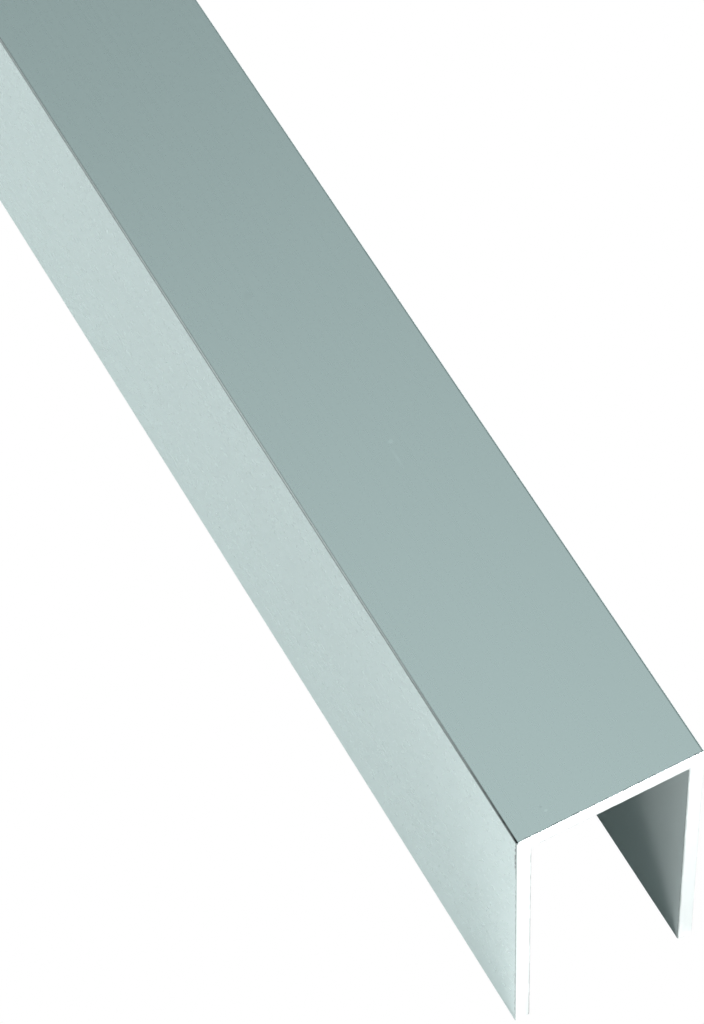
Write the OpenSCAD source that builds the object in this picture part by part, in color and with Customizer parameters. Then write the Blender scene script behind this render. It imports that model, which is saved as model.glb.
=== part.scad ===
// U-channel: one cut length of extruded aluminium channel, deeper than it is wide, with crisp edges.
// It stands on the tips of its two legs with its open side down.
// X is across the section, Y is along the length and Z is up. The origin is on the floor, midway
// between the legs and halfway along the length. All sizes are in millimetres.

/* [Section] */
// Width across the outer faces of the two legs
section_w = 25; // [15:0.5:60]
// Depth from the outer face of the web to the leg tips
section_h = 45; // [12:0.5:80]
// Thickness of the web, the wall that joins the two legs
web_t = 2.5; // [1:0.1:4]
// Thickness of each leg
leg_t = 2; // [1:0.1:4]

/* [Edges] */
// Radius of the two long outer corners, where the web meets the legs
corner_r = 0.3; // [0.1:0.05:0.9]
// Radius of the two long inner fillets, where the web meets the legs
fillet_r = 0.4; // [0.1:0.05:2]
// Radius of the two long edges of each leg tip
tip_r = 0.2; // [0.1:0.05:0.45]

/* [Length] */
// Length from sawn end to sawn end
bar_l = 1000; // [100:10:6000]

/* [Hidden] */

// Clear width between the legs and clear depth under the web: the room for a panel's edge
gap_w = section_w - 2 * leg_t;
gap_h = section_h - web_t;
// How far a cutting or filling shape runs past the line that it works to
past = 0.05;
// Sides of a full circle, for the rounded edges
$fn = 48;

// What a round of radius r takes off an outside corner, or adds to an inside one. The corner is at
// the origin, and the round's centre lies towards side_x and side_z, each 1 or -1.
module corner_wedge(r, side_x, side_z) {
    inward = [side_x, side_z];
    difference() {
        translate(inward * (r - past) / 2) square(r + past, center = true);
        translate(inward * r) circle(r = r);
    }
}

// The square-cornered "U", standing on its legs
module sharp_section() {
    difference() {
        translate([-section_w / 2, 0]) square([section_w, section_h]);
        translate([-gap_w / 2, -past]) square([gap_w, gap_h + past]);
    }
}

// The section as extruded: fillets added inside, then the outer corners and leg tips rounded
module channel_section() {
    difference() {
        union() {
            sharp_section();
            for (side = [-1, 1])
                translate([side * gap_w / 2, gap_h]) corner_wedge(fillet_r, -side, -1);
        }
        for (side = [-1, 1]) {
            translate([side * section_w / 2, section_h]) corner_wedge(corner_r, -side, -1);
            translate([side * section_w / 2, 0]) corner_wedge(tip_r, -side, 1);
            translate([side * gap_w / 2, 0]) corner_wedge(tip_r, side, 1);
        }
    }
}

// The whole channel: the section swept along the length, centred on the origin
module u_channel() {
    color([0.74, 0.78, 0.78])
        translate([0, bar_l / 2, 0])
            rotate([90, 0, 0])
                linear_extrude(height = bar_l) channel_section();
}

u_channel();
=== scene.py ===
"""A cut length of silver anodised aluminium U-channel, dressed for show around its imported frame.

Everything is in metres, in the frame's own axes: X across the section, Y along the length, Z up.
The channel stands on the tips of its two legs, open side down, on a plain pale floor.
"""

import logging
import math
from dataclasses import dataclass
from enum import Enum

import bmesh
import bpy
from mathutils import Matrix, Vector, noise

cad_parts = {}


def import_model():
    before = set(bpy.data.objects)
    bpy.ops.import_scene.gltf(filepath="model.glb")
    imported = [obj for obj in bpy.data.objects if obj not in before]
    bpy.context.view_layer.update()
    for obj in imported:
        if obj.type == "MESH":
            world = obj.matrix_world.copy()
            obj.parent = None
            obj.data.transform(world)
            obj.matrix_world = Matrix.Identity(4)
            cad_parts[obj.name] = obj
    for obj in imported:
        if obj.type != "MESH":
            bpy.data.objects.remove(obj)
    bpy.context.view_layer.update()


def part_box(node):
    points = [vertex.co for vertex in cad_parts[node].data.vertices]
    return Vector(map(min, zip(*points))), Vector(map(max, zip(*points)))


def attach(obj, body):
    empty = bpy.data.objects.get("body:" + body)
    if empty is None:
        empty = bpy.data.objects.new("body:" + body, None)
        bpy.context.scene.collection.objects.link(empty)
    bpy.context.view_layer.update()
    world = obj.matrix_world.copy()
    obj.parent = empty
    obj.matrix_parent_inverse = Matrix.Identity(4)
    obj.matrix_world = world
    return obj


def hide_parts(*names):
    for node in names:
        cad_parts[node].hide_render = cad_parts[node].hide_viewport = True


Colour = tuple[float, float, float]
Point = tuple[float, float, float]
Span = tuple[float, float]

LOG = logging.getLogger("u_channel")
MM = 0.001
NODE = "u_channel"

# Two points of the mesh that are nearer than this are one.
WELD = 1e-7
# How far off a middle or a tip may be when a face or an edge is picked by its place.
PICK = 1e-6
# How far off a face a point may be and still count as on it.
ON_FACE = 0.1 * MM
# The saw blade's centre, beside and below the section.
BLADE_CENTRE = Vector((0.085, 0.0, -0.07))
# How far down from the web a cut's left edge is torn.
TORN_REACH = 9.0 * MM

UNIT: Span = (0.0, 1.0)
# Where nearly all of a noise texture's values lie, and where most of them do.
NOISE_RANGE: Span = (0.25, 0.75)
NOISE_MIDDLE: Span = (0.3, 0.7)


class BarEnd(Enum):
    """The two sawn ends, each by the way its face points along Y."""

    NEAR = -1
    FAR = 1


class Surface(Enum):
    """The finishes on the channel, each by its material index on the mesh."""

    SKIN = 0
    SAWN = 1
    CHAMFER = 2


class Shading:
    """A node tree that is being written, with short ways to add and join nodes."""

    # The Mix node's colour sockets, by place, because each of its data types uses the same names.
    FIRST_COLOUR = 6
    SECOND_COLOUR = 7
    MIXED_COLOUR = 2

    def __init__(self, tree: bpy.types.NodeTree) -> None:
        """Empties the tree.

        Args:
            tree: The node tree of a material or a world.
        """
        self.tree = tree
        tree.nodes.clear()

    def node(self, kind: str, **settings: object) -> bpy.types.Node:
        """Adds a node.

        Args:
            kind: The node's type name, without its leading "ShaderNode".
            **settings: Attributes to set on the node.

        Returns:
            The new node.
        """
        made = self.tree.nodes.new("ShaderNode" + kind)
        for name, value in settings.items():
            setattr(made, name, value)
        return made

    def feed(self, socket: bpy.types.NodeSocket, value: object) -> None:
        """Joins an output to an input socket, or sets the socket's own value.

        Args:
            socket: The input socket.
            value: An output socket, or a plain value.
        """
        if isinstance(value, bpy.types.NodeSocket):
            self.tree.links.new(value, socket)
        else:
            socket.default_value = value

    def math(self, kind: str, *values: object) -> bpy.types.NodeSocket:
        """Adds a Math node.

        Args:
            kind: The operation, such as "MULTIPLY".
            *values: One output socket or number for each operand.

        Returns:
            The node's output.
        """
        made = self.node("Math", operation=kind)
        for socket, value in zip(made.inputs, values):
            self.feed(socket, value)
        return made.outputs[0]

    def blend(self, share: object, first: object, second: object,
              way: str = "MIX") -> bpy.types.NodeSocket:
        """Adds a colour Mix node.

        Args:
            share: How much of the second colour shows, from 0 to 1.
            first: A colour or an output.
            second: A colour or an output.
            way: The blending mode.

        Returns:
            The mixed colour.
        """
        made = self.node("Mix", data_type="RGBA", blend_type=way)
        self.feed(made.inputs["Factor"], share)
        self.feed(made.inputs[self.FIRST_COLOUR], first)
        self.feed(made.inputs[self.SECOND_COLOUR], second)
        return made.outputs[self.MIXED_COLOUR]

    def tinted(self, tint: Colour, tone: bpy.types.NodeSocket) -> bpy.types.NodeSocket:
        """Multiplies a colour by a tone.

        Args:
            tint: The colour.
            tone: A number, 1 where the colour stays as it is.

        Returns:
            The darker or lighter colour.
        """
        grey = self.node("CombineColor")
        for socket in grey.inputs:
            self.feed(socket, tone)
        return self.blend(1.0, (*tint, 1.0), grey.outputs[0], way="MULTIPLY")

    def spread(self, value: object, between: Span, to: Span = UNIT,
               smooth: bool = True) -> bpy.types.NodeSocket:
        """Adds a clamped Map Range node.

        Args:
            value: The number that is mapped.
            between: The values that give the first and the second number of to.
            to: The two numbers at the ends of the result.
            smooth: Whether the ends ease in and out.

        Returns:
            The mapped number.
        """
        made = self.node("MapRange", interpolation_type="SMOOTHSTEP" if smooth else "LINEAR")
        for socket, number in zip(made.inputs, (value, *between, *to)):
            self.feed(socket, number)
        return made.outputs[0]

    def near(self, distance: object, limits: Span) -> bpy.types.NodeSocket:
        """Gives 1 up to the first of two distances and 0 past the second, easing between them."""
        return self.spread(distance, limits, (1.0, 0.0))

    def place(self, stretch: Point = (1.0, 1.0, 1.0),
              shift: Point = (0.0, 0.0, 0.0)) -> bpy.types.NodeSocket:
        """Adds the object's own coordinates, stretched and shifted.

        Args:
            stretch: Scale along X, Y and Z.
            shift: Distance moved along X, Y and Z after scaling.

        Returns:
            The coordinates.
        """
        made = self.node("Mapping", vector_type="POINT")
        self.feed(made.inputs["Vector"], self.node("TexCoord").outputs["Object"])
        made.inputs["Location"].default_value = shift
        made.inputs["Scale"].default_value = stretch
        return made.outputs[0]

    def axes(self) -> bpy.types.NodeOutputs:
        """Adds the object's own coordinates as three numbers.

        Returns:
            The outputs "X", "Y" and "Z".
        """
        split = self.node("SeparateXYZ")
        self.feed(split.inputs[0], self.place())
        return split.outputs

    def distance(self, where: bpy.types.NodeSocket) -> bpy.types.NodeSocket:
        """Measures how far coordinates are from their own zero.

        Args:
            where: The coordinates.

        Returns:
            The distance.
        """
        made = self.node("VectorMath", operation="LENGTH")
        self.feed(made.inputs[0], where)
        return made.outputs["Value"]

    def grain(self, where: bpy.types.NodeSocket, per_metre: float, depth: float = 2.0,
              harshness: float = 0.5) -> bpy.types.NodeSocket:
        """Adds a Noise texture.

        Args:
            where: The coordinates it is laid out in.
            per_metre: Grains in one metre.
            depth: Layers of finer detail.
            harshness: How strong each finer layer is.

        Returns:
            A number that varies about one half.
        """
        made = self.node("TexNoise")
        self.feed(made.inputs["Vector"], where)
        made.inputs["Scale"].default_value = per_metre
        made.inputs["Detail"].default_value = depth
        made.inputs["Roughness"].default_value = harshness
        return made.outputs[0]

    def bump(self, height: bpy.types.NodeSocket, distance: float,
             over: bpy.types.NodeSocket | None = None) -> bpy.types.NodeSocket:
        """Adds a Bump node.

        Args:
            height: The relief.
            distance: How high a relief of 1 stands, in metres.
            over: The normal of another relief that this one lies on.

        Returns:
            The normal.
        """
        made = self.node("Bump")
        made.inputs["Distance"].default_value = distance
        self.feed(made.inputs["Height"], height)
        if over is not None:
            self.feed(made.inputs["Normal"], over)
        return made.outputs[0]


def new_metal(name: str) -> tuple[bpy.types.Material, Shading, bpy.types.Node]:
    """Makes a material that holds one Principled shader, set to metal.

    Args:
        name: The material's name.

    Returns:
        The material, its node tree and the shader.
    """
    material = bpy.data.materials.new(name)
    material.use_nodes = True
    shading = Shading(material.node_tree)
    shader = shading.node("BsdfPrincipled")
    shader.inputs["Metallic"].default_value = 1.0
    out = shading.node("OutputMaterial")
    shading.feed(out.inputs["Surface"], shader.outputs[0])
    return material, shading, shader


@dataclass(frozen=True)
class HandlingMark:
    """A small scuff on the skin: where it is, how big, and how much lighter or darker."""

    centre: Point
    radius: Point
    strength: float
    full_share: float = 0.35

    def mask(self, s: Shading) -> bpy.types.NodeSocket:
        """Writes the mark's shape into a material.

        Args:
            s: The material's node tree.

        Returns:
            A number that is the mark's strength at its middle and 0 outside it.
        """
        stretch = tuple(1.0 / r for r in self.radius)
        shift = tuple(-c / r for c, r in zip(self.centre, self.radius))
        off_centre = s.distance(s.place(stretch, shift))
        return s.spread(off_centre, (self.full_share, 1.0), (self.strength, 0.0))


@dataclass(frozen=True)
class PaintedArrisShade:
    """The long left corner, with painted shade: a dark hairline over it, strongest at the near end, and a
    weaker one beside, both dimming the lamps' highlights there.
    """

    width: float
    depth: float
    length: float
    top_across: Span = (0.20 * MM, 0.32 * MM)
    top_down: Span = (0.11 * MM, 0.19 * MM)
    side_across: Span = (0.10 * MM, 0.18 * MM)
    side_down: Span = (0.24 * MM, 0.34 * MM)
    side_strength: float = 0.62
    far_strength: float = 0.76
    near_gain: float = 0.24
    most: float = 0.99
    fade: float = 20.0 * MM
    breaks_per_metre: float = 1500.0
    break_stretch: Point = (1.0, 0.5, 1.0)
    break_strength: Span = (0.86, 1.06)

    def tone(self, s: Shading) -> bpy.types.NodeSocket:
        """Writes the corner's shade into a material.

        Args:
            s: The material's node tree.

        Returns:
            A tone to multiply by.
        """
        at = s.axes()
        across = s.math("ADD", at["X"], self.width / 2)
        down = s.math("SUBTRACT", self.depth, at["Z"])
        over = s.math("MULTIPLY", s.near(across, self.top_across), s.near(down, self.top_down))
        beside = s.math("MULTIPLY", s.near(across, self.side_across), s.near(down, self.side_down))
        inward = s.math("ADD", at["Y"], self.length / 2)
        fade = s.math("POWER", math.exp(-1.0), s.math("DIVIDE", inward, self.fade))
        ragged = s.grain(s.place(self.break_stretch), self.breaks_per_metre, depth=2.0, harshness=0.6)
        broken = s.math("MULTIPLY", fade, s.spread(ragged, NOISE_MIDDLE, self.break_strength))
        strength = s.math("MULTIPLY_ADD", broken, self.near_gain, self.far_strength)
        dark_over = s.math("MULTIPLY", over, s.math("MINIMUM", strength, self.most))
        dark_beside = s.math("MULTIPLY", beside, self.side_strength)
        return s.math("SUBTRACT", 1.0, s.math("MAXIMUM", dark_over, dark_beside))


@dataclass(frozen=True)
class PaintedRimShade:
    """Painted shade on the skin beside each sawn edge: a dark hairline, reaching further in and ragged
    where the blade tore the left edge.
    """

    width: float
    depth: float
    length: float
    reach: Span = (0.12 * MM, 0.26 * MM)
    waver: Span = (-0.05 * MM, 0.08 * MM)
    strength: Span = (0.58, 0.80)
    left_skin: float = 0.05 * MM
    fully_torn: float = 6.0 * MM
    chip_shade_reach: float = 0.30 * MM
    chip_shade_band: Span = (0.42, 0.58)
    waves_per_metre: float = 1300.0

    def tone(self, s: Shading) -> bpy.types.NodeSocket:
        """Writes the rim's shade into a material.

        Args:
            s: The material's node tree.

        Returns:
            A tone to multiply by.
        """
        at = s.axes()
        from_end = s.math("SUBTRACT", self.length / 2, s.math("ABSOLUTE", at["Y"]))
        uneven = s.grain(s.place(), self.waves_per_metre, depth=1.0)
        on_left = s.math("LESS_THAN", at["X"], self.left_skin - self.width / 2)
        high_up = s.spread(at["Z"], (self.depth - TORN_REACH, self.depth - self.fully_torn))
        torn = s.math("MULTIPLY", on_left, high_up)
        # Painted shade of the chips: the hairline reaches further in where the left edge is torn.
        chip_shade = s.math("MULTIPLY", torn, s.spread(uneven, self.chip_shade_band, (0.0, self.chip_shade_reach)))
        wavering = s.math("ADD", from_end, s.spread(uneven, NOISE_MIDDLE, self.waver))
        hairline = s.near(s.math("SUBTRACT", wavering, chip_shade), self.reach)
        strength = s.spread(torn, UNIT, self.strength, smooth=False)
        return s.math("SUBTRACT", 1.0, s.math("MULTIPLY", hairline, strength))


@dataclass(frozen=True)
class AnodisedSkin:
    """Matt silver oxide over extruded aluminium: a fine speckle and drawn lines along the length."""

    width: float
    depth: float
    length: float
    gap_half: float
    gap_top: float
    marks: tuple[HandlingMark, ...]
    tint: Colour = (0.505, 0.585, 0.578)
    roughness: float = 0.28
    inner_roughness: float = 0.16
    # Painted shade: the faces inside the channel are darkened to this share of the skin's colour.
    inner_painted_shade: float = 0.90
    inside_margin: float = 0.02 * MM
    lines_per_metre: Point = (2600.0, 5.0, 2600.0)
    line_height: float = 0.0003 * MM
    line_tone: Span = (-0.008, 0.008)
    speckles_per_metre: float = 1700.0
    speckle_height: float = 0.0005 * MM
    speckle_tone: Span = (0.992, 1.008)
    clouds_per_metre: float = 40.0
    cloud_stretch: Point = (1.0, 0.35, 1.0)
    cloud_tone: Span = (-0.006, 0.006)
    roughness_swing: Span = (-0.008, 0.008)

    def build(self) -> bpy.types.Material:
        """Makes the skin's material.

        Returns:
            The material.
        """
        material, s, shader = new_metal("anodised_skin")
        lines = s.grain(s.place(self.lines_per_metre), 1.0, depth=3.0, harshness=0.7)
        speckle = s.grain(s.place(), self.speckles_per_metre, depth=2.0, harshness=0.65)
        inside = self._inside(s)
        tone = self._tone(s, lines, speckle, inside)
        s.feed(shader.inputs["Base Color"], s.tinted(self.tint, tone))
        swing = s.math("ADD", s.spread(speckle, NOISE_MIDDLE, self.roughness_swing, smooth=False),
                       s.spread(lines, NOISE_MIDDLE, self.roughness_swing, smooth=False))
        base = s.spread(inside, UNIT, (self.roughness, self.inner_roughness), smooth=False)
        s.feed(shader.inputs["Roughness"], s.math("ADD", swing, base))
        drawn = s.bump(lines, self.line_height)
        s.feed(shader.inputs["Normal"], s.bump(speckle, self.speckle_height, over=drawn))
        return material

    def _tone(self, s: Shading, lines: bpy.types.NodeSocket, speckle: bpy.types.NodeSocket,
              inside: bpy.types.NodeSocket) -> bpy.types.NodeSocket:
        """Puts together all that makes the skin lighter or darker from place to place.

        Args:
            s: The material's node tree.
            lines: The drawn lines.
            speckle: The fine speckle.
            inside: The mask of the faces round the gap.

        Returns:
            A tone to multiply by.
        """
        cloud = s.grain(s.place(self.cloud_stretch), self.clouds_per_metre, depth=1.0)
        tone = s.math("ADD", s.spread(speckle, NOISE_RANGE, self.speckle_tone, smooth=False),
                      s.spread(lines, NOISE_RANGE, self.line_tone, smooth=False))
        tone = s.math("ADD", tone, s.spread(cloud, NOISE_MIDDLE, self.cloud_tone))
        for mark in self.marks:
            tone = s.math("ADD", tone, mark.mask(s))
        # Painted shade: the inside faces, the long left corner and the rim beside each cut are darkened.
        shades = (
            s.spread(inside, UNIT, (1.0, self.inner_painted_shade), smooth=False),
            PaintedArrisShade(self.width, self.depth, self.length).tone(s),
            PaintedRimShade(self.width, self.depth, self.length).tone(s),
        )
        for shade in shades:
            tone = s.math("MULTIPLY", tone, shade)
        return tone

    def _inside(self, s: Shading) -> bpy.types.NodeSocket:
        """Gives 1 on the faces round the gap, which the die leaves smoother and which take a painted
        shade, and 0 elsewhere.

        Args:
            s: The material's node tree.

        Returns:
            The mask.
        """
        at = s.axes()
        off_middle = s.math("ABSOLUTE", at["X"])
        between = s.math("LESS_THAN", off_middle, self.gap_half + self.inside_margin)
        under = s.math("LESS_THAN", at["Z"], self.gap_top + self.inside_margin)
        return s.math("MULTIPLY", between, under)


@dataclass(frozen=True)
class SawnAluminium:
    """Bare bright metal where the blade went through, with the arcs that its teeth leave."""

    gap_half: float
    gap_top: float
    tint: Colour = (0.88, 0.90, 0.895)
    roughness: float = 0.36
    roughness_swing: float = 0.06
    arc_pitch: float = 0.35 * MM
    arc_tone: float = -0.02
    arc_height: float = 0.006 * MM
    wanders_per_metre: float = 260.0
    wander_turn: float = 5.0
    grits_per_metre: float = 5200.0
    grit_tone: Span = (0.965, 1.0)
    grit_share: float = 0.6
    # Painted shadow: a broken dark hairline on the cut along the edges round the gap.
    edge_shadow_reach: Span = (0.12 * MM, 0.24 * MM)
    edge_shadow_strength: float = 0.34
    dashes_per_metre: float = 420.0
    dash_band: Span = (0.42, 0.55)
    dash_strength: Span = (0.35, 1.0)

    def build(self) -> bpy.types.Material:
        """Makes the sawn end's material.

        Returns:
            The material.
        """
        material, s, shader = new_metal("sawn_aluminium")
        arcs = self._arcs(s)
        grit = s.grain(s.place(), self.grits_per_metre, depth=2.0, harshness=0.6)
        tone = s.math("ADD", s.spread(grit, NOISE_RANGE, self.grit_tone, smooth=False),
                      s.math("MULTIPLY", arcs, self.arc_tone))
        # Painted shadow along the cut's inner edges.
        tone = s.math("MULTIPLY", tone, self._painted_edge_shadow(s))
        s.feed(shader.inputs["Base Color"], s.tinted(self.tint, tone))
        rough = (self.roughness - self.roughness_swing, self.roughness + self.roughness_swing)
        s.feed(shader.inputs["Roughness"], s.spread(grit, NOISE_MIDDLE, rough))
        relief = s.math("ADD", arcs, s.math("MULTIPLY", grit, self.grit_share))
        s.feed(shader.inputs["Normal"], s.bump(relief, self.arc_height))
        return material

    def _arcs(self, s: Shading) -> bpy.types.NodeSocket:
        """Draws the teeth's arcs about the blade's centre, a little unsteady.

        Args:
            s: The material's node tree.

        Returns:
            A number that goes from 0 to 1 and back with each tooth.
        """
        shift = (-BLADE_CENTRE.x, 0.0, -BLADE_CENTRE.z)
        from_blade = s.distance(s.place((1.0, 0.0, 1.0), shift))
        wander = s.grain(s.place(), self.wanders_per_metre, depth=2.0)
        phase = s.math("ADD", s.math("DIVIDE", from_blade, self.arc_pitch / math.tau),
                       s.math("MULTIPLY", wander, self.wander_turn))
        return s.math("MULTIPLY_ADD", s.math("SINE", phase), 0.5, 0.5)

    def _painted_edge_shadow(self, s: Shading) -> bpy.types.NodeSocket:
        """Paints a broken dark hairline of shadow on the cut beside the gap.

        Args:
            s: The material's node tree.

        Returns:
            A tone to multiply by.
        """
        at = s.axes()
        beside = s.math("SUBTRACT", s.math("ABSOLUTE", at["X"]), self.gap_half)
        above = s.math("SUBTRACT", at["Z"], self.gap_top)
        off = s.math("MAXIMUM", beside, above)
        uneven = s.grain(s.place(), self.dashes_per_metre, depth=1.0)
        dashes = s.spread(uneven, self.dash_band, self.dash_strength)
        line = s.math("MULTIPLY", s.near(off, self.edge_shadow_reach), dashes)
        return s.math("SUBTRACT", 1.0, s.math("MULTIPLY", line, self.edge_shadow_strength))


@dataclass(frozen=True)
class FiledChamfer:
    """The broken edge round each end: bare metal, duller than the cut."""

    tint: Colour = (0.46, 0.50, 0.50)
    dull_share: float = 0.8
    roughness: float = 0.42
    roughness_swing: float = 0.08
    scours_per_metre: float = 4200.0
    scour_stretch: Point = (1.0, 0.2, 1.0)
    scour_height: float = 0.008 * MM

    def build(self) -> bpy.types.Material:
        """Makes the chamfer's material.

        Returns:
            The material.
        """
        material, s, shader = new_metal("filed_chamfer")
        scour = s.grain(s.place(self.scour_stretch), self.scours_per_metre, depth=2.0, harshness=0.6)
        dull = (*(c * self.dull_share for c in self.tint), 1.0)
        colour = s.blend(s.spread(scour, NOISE_MIDDLE), dull, (*self.tint, 1.0))
        s.feed(shader.inputs["Base Color"], colour)
        rough = (self.roughness - self.roughness_swing, self.roughness + self.roughness_swing)
        s.feed(shader.inputs["Roughness"], s.spread(scour, NOISE_MIDDLE, rough))
        s.feed(shader.inputs["Normal"], s.bump(scour, self.scour_height))
        return material


@dataclass
class Channel:
    """The channel itself: one extruded piece with two sawn ends."""

    low: Vector
    high: Vector
    web_t: float = 2.5 * MM
    leg_t: float = 2.0 * MM
    corner_r: float = 0.3 * MM
    fillet_r: float = 0.4 * MM
    tip_r: float = 0.2 * MM
    round_steps: int = 8
    chamfer: float = 0.07 * MM
    relief_cell: float = 0.25 * MM
    saw_relief: float = 0.012 * MM
    saw_pitch: float = 1.3 * MM
    saw_wander: float = 2.5
    saw_wanders_per_metre: float = 120.0
    nick_depth: float = 0.22 * MM
    nick_threshold: float = 0.12
    nick_gain: float = 2.2
    nick_elsewhere: float = 0.12
    fine_nicks_per_metre: float = 1400.0
    fine_nick_share: float = 0.6
    coarse_nicks_per_metre: float = 380.0
    coarse_nick_share: float = 0.7

    @property
    def width(self) -> float:
        """Width across the outer faces of the legs."""
        return self.high.x - self.low.x

    @property
    def depth(self) -> float:
        """Depth from the leg tips to the web's outer face."""
        return self.high.z - self.low.z

    @property
    def length(self) -> float:
        """Length from end to end."""
        return self.high.y - self.low.y

    def build(self) -> bpy.types.Object:
        """Models the channel.

        Returns:
            The finished object, at the origin, linked to the scene.
        """
        bm = bmesh.new()
        self._sweep_section(bm)
        self._round_long_edges(bm)
        for end in BarEnd:
            self._cut_end(bm, end)
        bmesh.ops.remove_doubles(bm, verts=bm.verts, dist=WELD)
        bmesh.ops.recalc_face_normals(bm, faces=bm.faces)
        mesh = bpy.data.meshes.new("channel")
        bm.to_mesh(mesh)
        bm.free()
        piece = bpy.data.objects.new("channel", mesh)
        bpy.context.scene.collection.objects.link(piece)
        return piece

    def _sweep_section(self, bm: bmesh.types.BMesh) -> None:
        """Lays out the square-cornered U at the near end and extrudes it to the far end.

        Args:
            bm: The mesh that is being made.
        """
        columns = (self.low.x, self.low.x + self.leg_t, self.high.x - self.leg_t, self.high.x)
        rows = (self.low.z, self.high.z - self.web_t, self.high.z)
        start = self.low.y + self.chamfer
        cells_across = len(columns) - 1
        cells_up = len(rows) - 1
        bmesh.ops.create_grid(bm, x_segments=cells_across, y_segments=cells_up, size=1.0)
        for vert in bm.verts:
            column = round((vert.co.x + 1.0) * cells_across / 2)
            row = round((vert.co.y + 1.0) * cells_up / 2)
            vert.co = Vector((columns[column], start, rows[row]))
        middles = [(face, face.calc_center_median()) for face in bm.faces]
        gap = [face for face, at in middles if abs(at.x) < PICK and at.z < rows[1]]
        bmesh.ops.delete(bm, geom=gap, context="FACES")
        inside = [e for e in bm.edges if len(e.link_faces) == 2]
        bmesh.ops.dissolve_edges(bm, edges=inside)
        between_corners = [v for v in bm.verts if self._is_straight(v)]
        bmesh.ops.dissolve_verts(bm, verts=between_corners)
        swept = bmesh.ops.extrude_face_region(bm, geom=list(bm.faces), use_keep_orig=True)
        moved = [g for g in swept["geom"] if isinstance(g, bmesh.types.BMVert)]
        bmesh.ops.translate(bm, verts=moved, vec=(0.0, self.length - 2 * self.chamfer, 0.0))
        bmesh.ops.recalc_face_normals(bm, faces=bm.faces)

    @staticmethod
    def _is_straight(vert: bmesh.types.BMVert) -> bool:
        """Whether a vertex lies in the middle of a straight side.

        Args:
            vert: The vertex.

        Returns:
            True if its two edges run opposite ways.
        """
        if len(vert.link_edges) != 2:
            return False
        first, second = ((e.other_vert(vert).co - vert.co).normalized() for e in vert.link_edges)
        opposite = -0.999
        return first.dot(second) < opposite

    def _round_long_edges(self, bm: bmesh.types.BMesh) -> None:
        """Rounds the outer corners, the inner fillets and the leg tips, each to its own radius.

        Args:
            bm: The mesh that is being made.
        """
        under_web = self.high.z - self.web_t
        sharp_radians = 1.0
        for radius, is_one in (
            (self.corner_r, lambda p: p.z > under_web + ON_FACE),
            (self.fillet_r, lambda p: abs(p.z - under_web) < ON_FACE),
            (self.tip_r, lambda p: p.z < self.low.z + PICK),
        ):
            along = [e for e in bm.edges if self._runs_along(e)]
            edges = [e for e in along if is_one(e.verts[0].co) and e.calc_face_angle() > sharp_radians]
            bmesh.ops.bevel(bm, geom=edges, offset=radius, offset_type="OFFSET", segments=self.round_steps,
                            profile=0.5, affect="EDGES", material=-1, clamp_overlap=True)

    def _runs_along(self, edge: bmesh.types.BMEdge) -> bool:
        """Whether an edge runs the length of the bar."""
        return abs(edge.verts[0].co.y - edge.verts[1].co.y) > self.length / 2

    def _cut_end(self, bm: bmesh.types.BMesh, end: BarEnd) -> None:
        """Breaks the edges of one sawn end and cuts the blade's marks and nicks into it.

        Args:
            bm: The mesh that is being made.
            end: Which end.
        """
        face_y = end.value * self.length / 2
        plane = end.value * (self.length / 2 - self.chamfer)
        cap = [f for f in bm.faces if all(abs(v.co.y - plane) < WELD for v in f.verts)]
        ring = bmesh.ops.inset_region(bm, faces=cap, thickness=self.chamfer, depth=self.chamfer,
                                      use_even_offset=True)["faces"]
        for face in cap:
            face.material_index = Surface.SAWN.value
            face.smooth = True
        for face in ring:
            face.material_index = Surface.CHAMFER.value
        self._slice_end(bm, end)
        for vert in bm.verts:
            if abs(vert.co.y - face_y) < WELD:
                vert.co.y -= end.value * self._saw_mark(vert.co)
            elif abs(vert.co.y - plane) < WELD:
                vert.co.y -= end.value * self._nick(vert.co)
        for face in bm.faces:
            if face.material_index == Surface.CHAMFER.value:
                for edge in face.edges:
                    edge.smooth = False

    def _slice_end(self, bm: bmesh.types.BMesh, end: BarEnd) -> None:
        """Slices one end's cap and chamfer into small cells, so that they can take relief.

        Args:
            bm: The mesh that is being made.
            end: Which end.
        """
        up = (Vector((0, 0, 1)), self.low.z, self.high.z)
        across = (Vector((1, 0, 0)), self.low.x, self.high.x)
        for axis, low, high in (up, across):
            count = round((high - low) / self.relief_cell)
            step = (high - low) / count
            for i in range(1, count):
                cut = [f for f in bm.faces if f.material_index != Surface.SKIN.value]
                faces = [f for f in cut if f.calc_center_median().y * end.value > 0]
                geom = list({g for f in faces for g in (*f.verts, *f.edges, f)})
                where = axis * (low + i * step)
                bmesh.ops.bisect_plane(bm, geom=geom, dist=WELD, plane_co=where, plane_no=axis)

    def _saw_mark(self, at: Vector) -> float:
        """Depth of the blade's marks at a point of the end face.

        Args:
            at: The point.

        Returns:
            Depth into the bar, in metres.
        """
        reach = math.hypot(at.x - BLADE_CENTRE.x, at.z - BLADE_CENTRE.z)
        wander = noise.noise(Vector((at.x, at.z, 0.0)) * self.saw_wanders_per_metre)
        wave = 0.5 - 0.5 * math.cos(math.tau * reach / self.saw_pitch + self.saw_wander * wander)
        return self.saw_relief * wave

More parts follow.
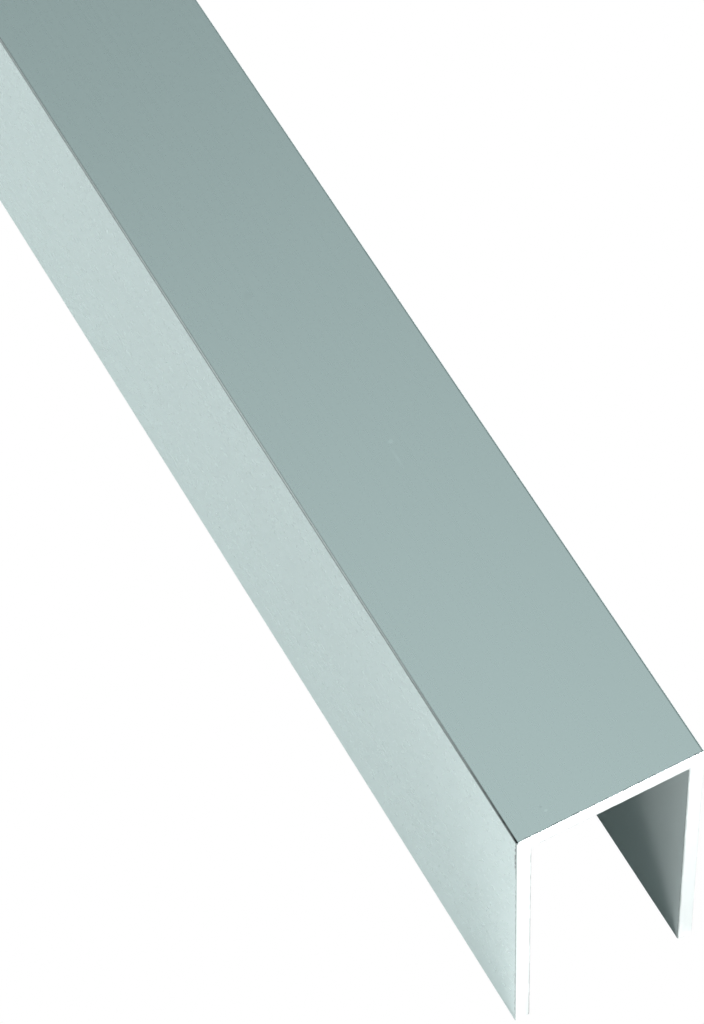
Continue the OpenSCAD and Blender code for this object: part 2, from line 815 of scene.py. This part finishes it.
    def _nick(self, at: Vector) -> float:
        """Depth of the chips along the edge of a cut.

        Args:
            at: The point on the edge.

        Returns:
            Depth into the bar, in metres, most of it 0.
        """
        fine = noise.noise(Vector((at.x, at.z, at.y)) * self.fine_nicks_per_metre)
        coarse = noise.noise(Vector((at.z, at.x, at.y)) * self.coarse_nicks_per_metre)
        chip = fine * self.fine_nick_share + coarse * self.coarse_nick_share - self.nick_threshold
        on_left_skin = at.x < self.low.x + ON_FACE
        torn = on_left_skin and at.z > self.depth - TORN_REACH
        ragged = 1.0 if torn else self.nick_elsewhere
        return self.nick_depth * ragged * min(1.0, max(0.0, chip) * self.nick_gain)

    def dress(self, piece: bpy.types.Object) -> None:
        """Gives the channel its finishes and puts it in the frame.

        Args:
            piece: The channel's object.
        """
        for finish in self._finishes():
            piece.data.materials.append(finish.build())
        # Strips narrower than this, the rounds and the leg tips, are shaded smooth.
        narrow = 4.0 * self.fillet_r
        for face in piece.data.polygons:
            if face.material_index == Surface.SKIN.value:
                face.use_smooth = face.area < narrow * self.length
        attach(piece, "root")
        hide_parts(NODE)

    def _finishes(self) -> tuple[AnodisedSkin, SawnAluminium, FiledChamfer]:
        """Chooses the finishes.

        Returns:
            The finishes, in the order of their material indices.
        """
        gap_half = self.width / 2 - self.leg_t
        gap_top = self.depth - self.web_t
        marks = (
            HandlingMark((0.0015, -0.4445, self.depth), (0.45 * MM, 0.45 * MM, 1.0), 0.10),
            HandlingMark((0.0010, -0.4470, self.depth), (0.25 * MM, 2.2 * MM, 1.0), 0.05),
            HandlingMark((-0.0035, -0.4170, self.depth), (0.9 * MM, 0.9 * MM, 1.0), -0.03),
            HandlingMark((-0.0074, -0.4978, self.depth), (0.28 * MM, 0.22 * MM, 1.0), 0.14),
            HandlingMark((-0.0077, -0.4971, self.depth), (0.22 * MM, 0.20 * MM, 1.0), -0.12),
        )
        skin = AnodisedSkin(self.width, self.depth, self.length, gap_half, gap_top, marks)
        return skin, SawnAluminium(gap_half, gap_top), FiledChamfer()


@dataclass(frozen=True)
class SoftLamp:
    """A square soft lamp: where it is, what it faces, how big and how strong it is."""

    name: str
    place: Point
    aim: Point
    side: float
    watts: float

    def build(self) -> None:
        """Hangs the lamp in the scene."""
        lamp = bpy.data.lights.new(self.name, "AREA")
        lamp.size = self.side
        lamp.energy = self.watts
        holder = bpy.data.objects.new(self.name, lamp)
        holder.location = self.place
        holder.rotation_euler = (Vector(self.aim) - Vector(self.place)).to_track_quat("-Z", "Y").to_euler()
        bpy.context.scene.collection.objects.link(holder)


@dataclass(frozen=True)
class SkyStep:
    """The sky's light at one height, from 0 at the horizon to 1 overhead."""

    height: float
    grey: float
    red_share: float


@dataclass(frozen=True)
class Studio:
    """A pale floor, a soft sky and soft lamps."""

    floor_half: float = 6.0
    floor_cells: int = 8
    floor_drop: float = 0.02 * MM
    floor_grey: float = 0.80
    sky_steps: tuple[SkyStep, ...] = (
        SkyStep(0.00, 0.25, 0.80),
        SkyStep(0.30, 0.30, 0.80),
        SkyStep(0.55, 0.34, 0.80),
        SkyStep(0.75, 0.37, 0.83),
        SkyStep(0.88, 1.00, 0.90),
        SkyStep(1.00, 0.90, 0.93),
    )
    lamps: tuple[SoftLamp, ...] = (
        SoftLamp("front_lamp", (0.48, -1.30, 0.30), (0.0, -0.48, 0.0), 0.10, 6.0),
        SoftLamp("gap_lamp", (0.285, -1.30, 0.30), (0.0, -0.48, 0.0), 0.08, 6.0),
        SoftLamp("right_lamp", (0.80, -1.40, 0.90), (0.0, -0.45, 0.0), 0.25, 7.0),
        SoftLamp("left_lamp", (-1.20, 0.10, 0.90), (0.0, -0.40, 0.0), 1.50, 16.0),
        SoftLamp("low_left_lamp", (-0.45, -0.25, 0.38), (0.0, -0.42, 0.0), 0.42, 1.45),
        SoftLamp("far_lamp", (0.90, 1.30, 0.35), (0.0, 0.35, 0.0), 0.50, 10.0),
    )

    def build(self) -> None:
        """Makes the floor, the sky and the lamps."""
        self._floor()
        self._sky()
        for lamp in self.lamps:
            lamp.build()

    def _floor(self) -> None:
        """Makes the floor, which the camera sees as plain white and the metal sees as it is lit."""
        bm = bmesh.new()
        cells = self.floor_cells
        bmesh.ops.create_grid(bm, x_segments=cells, y_segments=cells, size=self.floor_half)
        bmesh.ops.translate(bm, verts=bm.verts, vec=(0.0, 0.0, -self.floor_drop))
        mesh = bpy.data.meshes.new("floor")
        bm.to_mesh(mesh)
        bm.free()
        floor = bpy.data.objects.new("floor", mesh)
        bpy.context.scene.collection.objects.link(floor)
        material = bpy.data.materials.new("pale_floor")
        material.use_nodes = True
        s = Shading(material.node_tree)
        lit = s.node("BsdfDiffuse")
        lit.inputs["Color"].default_value = (self.floor_grey, self.floor_grey, self.floor_grey, 1.0)
        seen = self._white_to_the_camera(s, lit, s.node("Emission"))
        s.feed(s.node("OutputMaterial").inputs["Surface"], seen)
        mesh.materials.append(material)

    def _sky(self) -> None:
        """Makes the sky: white to the camera, and to the metal a soft grey that is lighter overhead."""
        world = bpy.data.worlds.new("soft_sky")
        world.use_nodes = True
        bpy.context.scene.world = world
        s = Shading(world.node_tree)
        split = s.node("SeparateXYZ")
        s.feed(split.inputs[0], s.node("TexCoord").outputs["Generated"])
        ramp = s.node("ValToRGB")
        stops = ramp.color_ramp.elements
        # Each new stop is made half way up, then moved to its own height.
        while len(stops) < len(self.sky_steps):
            stops.new(0.5)
        for stop, step in zip(stops, self.sky_steps):
            stop.position = step.height
            stop.color = (step.grey * step.red_share, step.grey, step.grey, 1.0)
        s.feed(ramp.inputs[0], split.outputs["Z"])
        soft = s.node("Background")
        s.feed(soft.inputs["Color"], ramp.outputs[0])
        white = s.node("Background")
        white.inputs["Color"].default_value = (1.0, 1.0, 1.0, 1.0)
        seen = self._white_to_the_camera(s, soft, white)
        s.feed(s.node("OutputWorld").inputs["Surface"], seen)

    @staticmethod
    def _white_to_the_camera(s: Shading, lit: bpy.types.Node,
                             white: bpy.types.Node) -> bpy.types.NodeSocket:
        """Joins a lit shader with a plain white one that only the camera sees.

        Args:
            s: The node tree.
            lit: The shader that lights and shows in the metal.
            white: The shader that the camera sees.

        Returns:
            The joined shader.
        """
        joined = s.node("MixShader")
        s.feed(joined.inputs[0], s.node("LightPath").outputs["Is Camera Ray"])
        s.feed(joined.inputs[1], lit.outputs[0])
        s.feed(joined.inputs[2], white.outputs[0])
        return joined.outputs[0]


@dataclass(frozen=True)
class Viewpoint:
    """A long lens that looks down on the near end from its left."""

    place: Point = (-0.1432, -0.7272, 0.5242)
    aim: Point = (-0.0074, -0.4511, 0.0450)
    lean: float = math.radians(-2.70)
    lens_mm: float = 167.5
    nearest: float = 0.01
    farthest: float = 50.0

    def build(self) -> None:
        """Makes the camera and the way that its picture is shown."""
        data = bpy.data.cameras.new("camera")
        data.lens = self.lens_mm
        data.clip_start = self.nearest
        data.clip_end = self.farthest
        camera = bpy.data.objects.new("camera", data)
        look = (Vector(self.aim) - Vector(self.place)).to_track_quat("-Z", "Y").to_matrix().to_4x4()
        camera.matrix_world = Matrix.Translation(self.place) @ look @ Matrix.Rotation(self.lean, 4, "Z")
        scene = bpy.context.scene
        scene.collection.objects.link(camera)
        scene.camera = camera
        scene.view_settings.view_transform = "Standard"
        scene.view_settings.look = "None"


def main() -> None:
    """Builds the channel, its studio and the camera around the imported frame."""
    logging.basicConfig(level=logging.INFO, format="%(name)s: %(message)s")
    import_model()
    Viewpoint().build()
    Studio().build()
    low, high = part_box(NODE)
    channel = Channel(low, high)
    piece = channel.build()
    channel.dress(piece)
    LOG.info("%s: %d faces, %.0f mm long", piece.name, len(piece.data.polygons), channel.length / MM)


if __name__ == "__main__":
    main()
